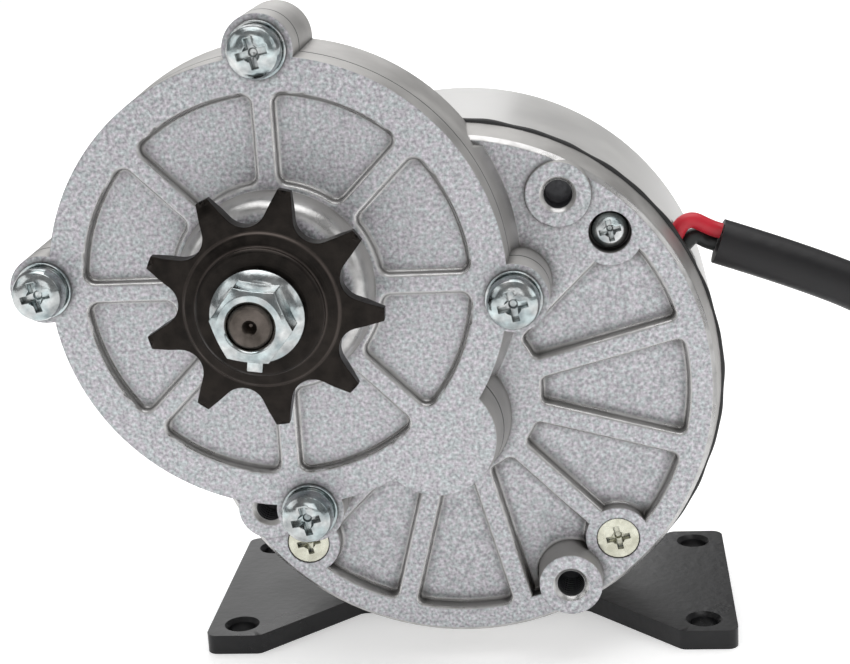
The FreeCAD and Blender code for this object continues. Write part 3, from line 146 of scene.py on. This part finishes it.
def make_sealant():
    """The bead of sealant squeezed out between the can and the bell, a little wavy."""
    spots = []
    faces = []
    for step in range(BEAD_STEPS):
        turn = 2 * math.pi * step / BEAD_STEPS
        outline = bead_outline(turn)
        for radius, station in outline:
            spots.append((radius * math.cos(turn) * MM, station * MM,
                          MOTOR_AXIS.z + radius * math.sin(turn) * MM))
        corners = len(outline)
        first, following = corners * step, corners * ((step + 1) % BEAD_STEPS)
        for corner in range(corners):
            beside = (corner + 1) % corners
            faces.append((first + corner, first + beside, following + beside, following + corner))
    mesh = bpy.data.meshes.new("sealant")
    mesh.from_pydata(spots, [], faces)
    mesh.shade_smooth()
    piece = bpy.data.objects.new("sealant", mesh)
    bpy.context.scene.collection.objects.link(piece)
    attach(piece, "housing")
    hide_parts("can_seal")
    return piece


sealant = make_sealant()


# ---------------------------------------------------------------- materials

class Finish:
    """A Principled material with helpers for the noise that drives it."""

    def __init__(self, name, metallic, roughness, **constants):
        self.material = bpy.data.materials.new(name)
        self.material.use_nodes = True
        self.tree = self.material.node_tree
        self.shader = self.tree.nodes["Principled BSDF"]
        self.shader.inputs["Metallic"].default_value = metallic
        self.shader.inputs["Roughness"].default_value = roughness
        for socket, value in constants.items():
            self.shader.inputs[socket.replace("_", " ")].default_value = value
        self.place = self.node("ShaderNodeTexCoord").outputs["Object"]
        self.normal = None

    def node(self, kind, **settings):
        """A new node with its settings."""
        made = self.tree.nodes.new(kind)
        for name, value in settings.items():
            setattr(made, name, value)
        return made

    def link(self, source, target):
        """A link from an output to an input."""
        self.tree.links.new(source, target)

    def noise(self, size, detail=2.0, stretch=None):
        """Noise whose grains are about `size` metres across."""
        made = self.node("ShaderNodeTexNoise")
        made.inputs["Scale"].default_value = 1 / size
        made.inputs["Detail"].default_value = detail
        place = self.place
        if stretch is not None:
            mapping = self.node("ShaderNodeMapping")
            mapping.inputs["Scale"].default_value = stretch
            self.link(place, mapping.inputs["Vector"])
            place = mapping.outputs["Vector"]
        self.link(place, made.inputs["Vector"])
        return made.outputs["Fac"]

    def ramp(self, factor, stops):
        """Colours along a factor; stops are (position, colour)."""
        made = self.node("ShaderNodeValToRGB")
        elements = made.color_ramp.elements
        while len(elements) < len(stops):
            elements.new(0.5)
        for element, (position, colour) in zip(elements, stops):
            element.position = position
            element.color = (*colour, 1)
        self.link(factor, made.inputs["Fac"])
        return made.outputs["Color"]

    def mix(self, factor, first, second, blend="MIX"):
        """One colour changing to another with a factor."""
        made = self.node("ShaderNodeMix", data_type="RGBA", blend_type=blend)
        colours = [socket for socket in made.inputs if socket.type == "RGBA"]
        if isinstance(factor, (int, float)):
            made.inputs["Factor"].default_value = factor
        else:
            self.link(factor, made.inputs["Factor"])
        for socket, colour in zip(colours, (first, second)):
            if isinstance(colour, tuple):
                socket.default_value = (*colour, 1)
            else:
                self.link(colour, socket)
        return next(socket for socket in made.outputs if socket.type == "RGBA")

    def spread(self, factor, low, high, start=0.3, end=0.7):
        """A factor stretched to a range of numbers."""
        made = self.node("ShaderNodeMapRange")
        for socket, value in zip(("From Min", "From Max", "To Min", "To Max"),
                                 (start, end, low, high)):
            made.inputs[socket].default_value = value
        self.link(factor, made.inputs["Value"])
        return made.outputs["Result"]

    def compute(self, operation, *values):
        """The result of a sum on numbers or factors."""
        made = self.node("ShaderNodeMath", operation=operation)
        for socket, value in zip(made.inputs, values):
            if isinstance(value, (int, float)):
                socket.default_value = value
            else:
                self.link(value, socket)
        return made.outputs["Value"]

    def bump(self, height, distance):
        """Relief of `distance` metres on top of any relief added before."""
        made = self.node("ShaderNodeBump")
        made.inputs["Distance"].default_value = distance
        made.inputs["Strength"].default_value = 1.0
        self.link(height, made.inputs["Height"])
        if self.normal is not None:
            self.link(self.normal, made.inputs["Normal"])
        self.normal = made.outputs["Normal"]
        self.link(self.normal, self.shader.inputs["Normal"])

    def colour(self, source):
        """Drive the shader's colour."""
        self.link(source, self.shader.inputs["Base Color"])

    def roughness(self, source):
        """Drive the shader's roughness."""
        self.link(source, self.shader.inputs["Roughness"])

    def along_y(self, source):
        """The Y component of a vector."""
        split = self.node("ShaderNodeSeparateXYZ")
        self.link(source, split.inputs["Vector"])
        return split.outputs["Y"]

    def facing(self, low, high):
        """From 0 to 1 as the Y component of the normal goes from low to high."""
        normals = self.node("ShaderNodeTexCoord").outputs["Normal"]
        return self.spread(self.along_y(normals), 0, 1, low, high)

    def crevices(self, reach, low=0.35, high=0.8):
        """How deep in a corner the surface lies, from 1 in the corner to 0 in the open; it sets where shade is
        painted.
        """
        made = self.node("ShaderNodeAmbientOcclusion", samples=8)
        made.inputs["Distance"].default_value = reach
        return self.spread(made.outputs["AO"], 1, 0, low, high)

    def round_edges(self, radius):
        """Shade sharp edges as if they had a small radius."""
        made = self.node("ShaderNodeBevel", samples=6)
        made.inputs["Radius"].default_value = radius
        self.normal = made.outputs["Normal"]
        self.link(self.normal, self.shader.inputs["Normal"])

    def radius_from(self, axis):
        """Distance from a shaft's axis, in metres."""
        shift = self.node("ShaderNodeVectorMath", operation="SUBTRACT")
        shift.inputs[1].default_value = axis
        flat = self.node("ShaderNodeVectorMath", operation="MULTIPLY")
        flat.inputs[1].default_value = (1, 0, 1)
        length = self.node("ShaderNodeVectorMath", operation="LENGTH")
        self.link(self.place, shift.inputs[0])
        self.link(shift.outputs["Vector"], flat.inputs[0])
        self.link(flat.outputs["Vector"], length.inputs[0])
        return length.outputs["Value"]

    def lathe_marks(self, axis, pitch, distance):
        """Fine rings from turning, about an axis."""
        phase = self.compute("MULTIPLY", self.radius_from(axis), 2 * math.pi / pitch)
        wobble = self.compute("MULTIPLY", self.noise(3 * MM), 3)
        self.bump(self.compute("SINE", self.compute("ADD", phase, wobble)), distance)


# The bell's three tapped bosses, around the motor axis.
BOSS_ANGLES = (61, -61, -149)
BOSS_CIRCLE = 43 * MM
# The dark inside the tapped holes is painted shade.
BOSS_HOLE = (2.60 * MM, 2.70 * MM)      # the radii between which the dark of the hole fades out
THREAD_PITCH = 1 * MM
THREAD_RELIEF = 0.3 * MM


def distance_to_bosses(finish):
    """Distance from the axis of the nearest tapped boss, in metres."""
    nearest = 1.0                       # further than any point of the motor
    for angle in map(math.radians, BOSS_ANGLES):
        axis = MOTOR_AXIS + Vector((math.cos(angle), 0, math.sin(angle))) * BOSS_CIRCLE
        nearest = finish.compute("MINIMUM", finish.radius_from(axis), nearest)
    return nearest


def cast_aluminium(name):
    """Blasted die-cast aluminium: speckled in front, smooth walls, rubbed edges, tapped bosses, with painted shade
    in corners and inside the tapped holes.
    """
    finish = Finish(name, 0.85, 0.5, Specular_IOR_Level=0.5)
    front = finish.facing(-0.86, -0.97)
    edge = finish.compute("SUBTRACT", finish.facing(-0.30, -0.50), front)
    grains = finish.noise(0.62 * MM, 2)
    tints = finish.ramp(finish.noise(0.9 * MM, 1), [
        (0.38, (1.0, 0.955, 0.99)), (0.5, (1.0, 1.0, 1.0)), (0.62, (0.94, 1.0, 0.985))])
    speckled = finish.mix(1, finish.ramp(grains, [
        (0.34, (0.30, 0.30, 0.315)), (0.46, (0.435, 0.435, 0.453)), (0.55, (0.51, 0.51, 0.531)),
        (0.68, (0.68, 0.68, 0.702))]), tints, "MULTIPLY")
    clouds = finish.noise(9 * MM, 3)
    walls = finish.ramp(clouds, [(0.3, (0.40, 0.39, 0.38)), (0.7, (0.53, 0.52, 0.507))])
    rubbed = finish.ramp(finish.noise(2 * MM, 3), [(0.3, (0.40, 0.395, 0.39)),
                                                  (0.6, (0.54, 0.535, 0.53))])
    plain = finish.mix(edge, finish.mix(front, walls, speckled), rubbed)
    tapped = finish.spread(distance_to_bosses(finish), 1, 0, *BOSS_HOLE)
    # Painted shade: the colour darkens deep in corners and recesses.
    corner_shaded = finish.mix(finish.crevices(2.8 * MM, 0.42, 0.86), plain, (0.10, 0.095, 0.09))
    # Painted shade: the tapped holes are painted dark.
    finish.colour(finish.mix(tapped, corner_shaded, (0.08, 0.08, 0.085)))
    finish.round_edges(0.5 * MM)
    blasted = finish.spread(grains, 0.40, 0.60)
    smooth = finish.compute("SUBTRACT", finish.spread(clouds, 0.50, 0.62),
                            finish.compute("MULTIPLY", edge, 0.28))
    in_front = finish.compute("MULTIPLY", front, blasted)
    elsewhere = finish.compute("MULTIPLY", finish.compute("SUBTRACT", 1, front), smooth)
    finish.roughness(finish.compute("ADD", in_front, elsewhere))
    finish.bump(clouds, 0.06 * MM)
    finish.bump(grains, 0.02 * MM)
    turns = finish.compute("MULTIPLY", finish.along_y(finish.place), 2 * math.pi / THREAD_PITCH)
    thread = finish.compute("MULTIPLY", finish.compute("SINE", turns), tapped)
    finish.bump(thread, THREAD_RELIEF)
    return finish.material


def paint(name, dark, light, roughness, peel, **constants):
    """Sprayed paint with faint clouds and a soft orange peel, `peel` metres high."""
    finish = Finish(name, 0.0, roughness, **constants)
    clouds = finish.noise(14 * MM, 4)
    finish.colour(finish.ramp(clouds, [(0.3, dark), (0.7, light)]))
    finish.roughness(finish.spread(clouds, roughness * 0.85, roughness * 1.2))
    finish.bump(finish.noise(1.6 * MM, 1), peel)
    finish.bump(finish.noise(0.3 * MM, 2), peel * 0.12)
    return finish.material


def plated(name, dark, light, roughness, tint=(1.0, 1.0, 1.0)):
    """Bright plating with faint stains, a slight iridescence, fine scratches and painted shade in its corners and
    recesses.
    """
    finish = Finish(name, 1.0, roughness)
    stains = finish.noise(2.4 * MM, 4)
    plain = finish.ramp(stains, [(0.3, dark), (0.7, light)])
    sheen = finish.ramp(finish.noise(3.5 * MM, 2), [(0.40, (1.0, 1.0, 1.0)), (0.62, tint)])
    bright = finish.mix(1, plain, sheen, "MULTIPLY")
    # Painted shade: the colour darkens deep in corners and recesses, such as the screws' cross recesses.
    finish.colour(finish.mix(finish.crevices(0.8 * MM), bright, (0.15, 0.16, 0.155)))
    finish.round_edges(0.2 * MM)
    finish.roughness(finish.spread(finish.noise(0.8 * MM, 3), roughness * 0.7, roughness * 1.5))
    finish.bump(finish.noise(0.5 * MM, 3), 0.012 * MM)
    return finish.material


def turned_steel(name, axis, dark, light, roughness):
    """Metal with lathe rings."""
    finish = Finish(name, 1.0, roughness)
    stains = finish.noise(3 * MM, 4)
    finish.colour(finish.ramp(stains, [(0.3, dark), (0.7, light)]))
    finish.roughness(finish.spread(stains, roughness * 0.8, roughness * 1.3))
    finish.lathe_marks(axis, 0.35 * MM, 0.004 * MM)
    return finish.material


# Two rings of painted highlight on the sprocket, as (share of the span from the axis, strength of the painted
# highlight).
RING_SPAN = 20 * MM
RING_HIGHLIGHTS = ((0.555, 0.0), (0.567, 0.5), (0.585, 0.0), (0.662, 0.0), (0.678, 0.6), (0.700, 0.0))


def black_oxide(name):
    """Oxide-blackened steel with faint turning marks and two rings of painted highlight."""
    finish = Finish(name, 0.88, 0.36)
    stains = finish.noise(2.5 * MM, 4)
    body = finish.ramp(stains, [(0.3, (0.009, 0.0075, 0.0065)), (0.7, (0.023, 0.019, 0.0165))])
    share = finish.spread(finish.radius_from(OUTPUT_AXIS), 0, 1, 0, RING_SPAN)
    rings = finish.ramp(share, [(place, (highlight, highlight, highlight)) for place, highlight in RING_HIGHLIGHTS])
    # Painted highlight: lighter rings at two radii of the hub.
    finish.colour(finish.mix(rings, body, (0.12, 0.10, 0.09)))
    finish.roughness(finish.spread(stains, 0.30, 0.46))
    finish.round_edges(0.25 * MM)
    finish.lathe_marks(OUTPUT_AXIS, 0.5 * MM, 0.003 * MM)
    finish.bump(finish.noise(0.4 * MM, 3), 0.015 * MM)
    return finish.material


def rubber(name, dark, light, roughness, grain=0.5 * MM, relief=0.02 * MM):
    """Rubber or moulded plastic with a fine grain."""
    finish = Finish(name, 0.0, roughness, Specular_IOR_Level=0.38)
    clouds = finish.noise(6 * MM, 3)
    finish.colour(finish.ramp(clouds, [(0.3, dark), (0.7, light)]))
    finish.roughness(finish.spread(clouds, roughness * 0.85, roughness * 1.15))
    finish.bump(finish.noise(grain, 2), relief)
    return finish.material


def laminated(name):
    """Stacked sheets of electrical steel, seen as fine lines across the shaft."""
    finish = Finish(name, 0.9, 0.4)
    lines = finish.noise(0.6 * MM, 1, stretch=(0.02, 1, 0.02))
    finish.colour(finish.ramp(lines, [(0.35, (0.16, 0.16, 0.17)), (0.65, (0.36, 0.36, 0.37))]))
    finish.bump(lines, 0.05 * MM)
    return finish.material


def copper_wire(name):
    """Enamelled copper wire, wound in strands."""
    finish = Finish(name, 0.9, 0.3)
    strands = finish.noise(0.9 * MM, 1, stretch=(1, 0.15, 1))
    finish.colour(finish.ramp(strands, [(0.35, (0.30, 0.09, 0.03)), (0.65, (0.72, 0.30, 0.12))]))
    finish.bump(strands, 0.15 * MM)
    return finish.material


MATERIALS = {
    "black_paint": paint("black_paint", (0.006, 0.006, 0.007), (0.013, 0.013, 0.014), 0.30,
                         0.05 * MM, Coat_Weight=0.06, Coat_Roughness=0.12,
                         Specular_IOR_Level=0.28),
    "grey_paint": paint("grey_paint", (0.46, 0.453, 0.443), (0.54, 0.533, 0.52), 0.36,
                        0.02 * MM, Coat_Weight=0.25, Coat_Roughness=0.2),
    "black_sealant": rubber("black_sealant", (0.012, 0.012, 0.013), (0.03, 0.03, 0.03), 0.5,
                            1.2 * MM, 0.15 * MM),
    "die_cast": cast_aluminium("die_cast"),
    "gasket_paper": rubber("gasket_paper", (0.05, 0.055, 0.055), (0.10, 0.105, 0.10), 0.8),
    "seal_rubber": rubber("seal_rubber", (0.010, 0.010, 0.010), (0.022, 0.022, 0.022), 0.5),
    "zinc_plate": plated("zinc_plate", (0.27, 0.285, 0.29), (0.64, 0.655, 0.65), 0.16,
                         (0.88, 0.98, 1.0)),
    "yellow_zinc": plated("yellow_zinc", (0.46, 0.455, 0.37), (0.66, 0.66, 0.56), 0.26),
    "bearing_steel": plated("bearing_steel", (0.66, 0.66, 0.67), (0.8, 0.8, 0.81), 0.14),
    "cage_brass": plated("cage_brass", (0.55, 0.38, 0.14), (0.78, 0.58, 0.28), 0.3),
    "gear_steel": plated("gear_steel", (0.36, 0.36, 0.36), (0.52, 0.52, 0.51), 0.3),
    "shaft_steel": turned_steel("shaft_steel", OUTPUT_AXIS, (0.042, 0.036, 0.031),
                                (0.14, 0.12, 0.107), 0.34),
    "black_oxide": black_oxide("black_oxide"),
    "core_laminations": laminated("core_laminations"),
    "copper_coils": copper_wire("copper_coils"),
    "commutator_copper": turned_steel("commutator_copper", MOTOR_AXIS, (0.55, 0.25, 0.14),
                                      (0.80, 0.46, 0.30), 0.28),
    "ferrite": rubber("ferrite", (0.03, 0.03, 0.032), (0.07, 0.07, 0.075), 0.6),
    "brown_laminate": rubber("brown_laminate", (0.12, 0.055, 0.02), (0.22, 0.11, 0.05), 0.5),
    "holder_brass": plated("holder_brass", (0.58, 0.42, 0.18), (0.78, 0.60, 0.30), 0.32),
    "brush_carbon": rubber("brush_carbon", (0.02, 0.02, 0.021), (0.045, 0.045, 0.048), 0.55),
    "spring_steel": plated("spring_steel", (0.4, 0.4, 0.4), (0.6, 0.6, 0.6), 0.3),
    "red_insulation": rubber("red_insulation", (0.46, 0.012, 0.025), (0.62, 0.025, 0.045), 0.38),
    "black_insulation": rubber("black_insulation", (0.012, 0.013, 0.013),
                               (0.028, 0.032, 0.031), 0.38),
    "black_sleeve": rubber("black_sleeve", (0.004, 0.004, 0.005), (0.010, 0.009, 0.010), 0.44,
                           2.2 * MM, 0.08 * MM),
    "connector_nylon": rubber("connector_nylon", (0.014, 0.014, 0.015), (0.03, 0.03, 0.03),
                              0.42),
    "contact_brass": plated("contact_brass", (0.66, 0.56, 0.34), (0.82, 0.74, 0.52), 0.22),
    "grommet_rubber": rubber("grommet_rubber", (0.010, 0.010, 0.010), (0.024, 0.024, 0.024),
                             0.6),
}


def finish_cad_nodes():
    """Every CAD node takes the finish of its slot in the record."""
    for row in frame["record"]["subparts"]:
        piece = nodes[row["node"]]
        piece.data.materials.clear()
        piece.data.materials.append(MATERIALS[row["material_slot"]])


finish_cad_nodes()
sleeve.data.materials.append(MATERIALS["black_sleeve"])
sealant.data.materials.append(MATERIALS["black_sealant"])


# ---------------------------------------------------------------- softened edges

# Width of the broken edges of each node, in mm. Blender clamps it where there is no room.
SOFT_EDGES = {"end_bell": 0.4, "gear_cover": 0.4, "base_plate": 0.5, "rear_cap": 0.4,
              "motor_can": 0.25, "cover_screws": 0.2, "cover_plain_washers": 0.12,
              "cover_spring_washers": 0.1, "flat_head_bolts": 0.12, "pan_head_bolt": 0.15,
              "sprocket": 0.1, "flange_nut": 0.12, "tab_washer": 0.12, "output_shaft": 0.1,
              "lead_connector": 0.5, "connector_blades": 0.15, "shaft_spacer": 0.15}
SHARP_ANGLE = 32


def soften(name, width):
    """Break a node's sharp edges, as a casting or a pressing has them."""
    piece = nodes[name]
    weld = piece.modifiers.new("weld", "WELD")
    weld.merge_threshold = 0.002 * MM
    bevel = piece.modifiers.new("broken_edges", "BEVEL")
    bevel.width = width
    bevel.segments = 3
    bevel.limit_method = "ANGLE"
    bevel.angle_limit = math.radians(SHARP_ANGLE)
    bevel.miter_outer = "MITER_ARC"
    normals = piece.modifiers.new("normals", "WEIGHTED_NORMAL")
    normals.mode = "FACE_AREA"
    normals.weight = 80
    normals.keep_sharp = False


for name, width in SOFT_EDGES.items():
    soften(name, width * MM)


# ---------------------------------------------------------------- floor and lights

WHITE = (1, 1, 1, 1)
FLOOR_COLOUR = (0.90, 0.90, 0.90, 1)
FLOOR_GLOW = 0.42
FLOOR_HALF = 6.0
WORLD_LIGHT = 0.27
SKY_ENERGY = 1.3
SKY_WIDTH = 70                          # degrees across
SKY_TILT = -8                           # degrees, so that it leans in from behind
LIGHT_TARGET = (0, 0, 0.06)
SOFTBOXES = {                           # place, size and power
    "overhead": ((0.0, 0.05, 1.0), 1.0, 3.4),
    "left": ((-0.9, -0.5, 0.55), 0.6, 1.2),
    "right": ((0.95, -0.3, 0.5), 0.6, 1.2),
    "front": ((0.1, -1.3, 0.5), 0.7, 1.9),
    "back": ((-0.3, 1.4, 0.7), 0.8, 3)}


def make_floor():
    """A plain pale floor with a faint glow, which keeps it white far from the lamps."""
    finish = Finish("floor", 0.0, 0.6)
    finish.shader.inputs["Base Color"].default_value = FLOOR_COLOUR
    finish.shader.inputs["Emission Color"].default_value = WHITE
    finish.shader.inputs["Emission Strength"].default_value = FLOOR_GLOW
    mesh = bpy.data.meshes.new("floor")
    near, far = -FLOOR_HALF, FLOOR_HALF
    mesh.from_pydata([(near, near, 0), (far, near, 0), (far, far, 0), (near, far, 0)],
                     [], [(0, 1, 2, 3)])
    floor = bpy.data.objects.new("floor", mesh)
    floor.data.materials.append(finish.material)
    bpy.context.scene.collection.objects.link(floor)


def make_softbox(name, spot, size, power):
    """A square softbox that looks at the motor."""
    data = bpy.data.lights.new(name, "AREA")
    data.size = size
    data.energy = power
    lamp = bpy.data.objects.new(name, data)
    lamp.location = spot
    aim = Vector(LIGHT_TARGET) - Vector(spot)
    lamp.rotation_mode = "QUATERNION"
    lamp.rotation_quaternion = aim.to_track_quat("-Z", "Y")
    bpy.context.scene.collection.objects.link(lamp)


def make_world():
    """A pale world: white where it is seen, dimmer as a light."""
    world = bpy.data.worlds.new("world")
    world.use_nodes = True
    tree = world.node_tree
    background = tree.nodes["Background"]
    background.inputs["Color"].default_value = WHITE
    strength = tree.nodes.new("ShaderNodeMapRange")
    strength.inputs["To Min"].default_value = WORLD_LIGHT
    strength.inputs["To Max"].default_value = 1.0
    path = tree.nodes.new("ShaderNodeLightPath")
    tree.links.new(path.outputs["Is Camera Ray"], strength.inputs["Value"])
    tree.links.new(strength.outputs["Result"], background.inputs["Strength"])
    bpy.context.scene.world = world
    bpy.context.scene.view_settings.view_transform = "Standard"


def make_lights():
    """A wide light from the sky, and softboxes overhead and on all four sides."""
    sky = bpy.data.lights.new("sky", "SUN")
    sky.energy = SKY_ENERGY
    sky.angle = math.radians(SKY_WIDTH)
    lamp = bpy.data.objects.new("sky", sky)
    lamp.rotation_euler = (math.radians(SKY_TILT), 0, 0)
    bpy.context.scene.collection.objects.link(lamp)
    for name, (spot, size, power) in SOFTBOXES.items():
        make_softbox(name, spot, size, power)


make_world()
make_floor()
make_lights()
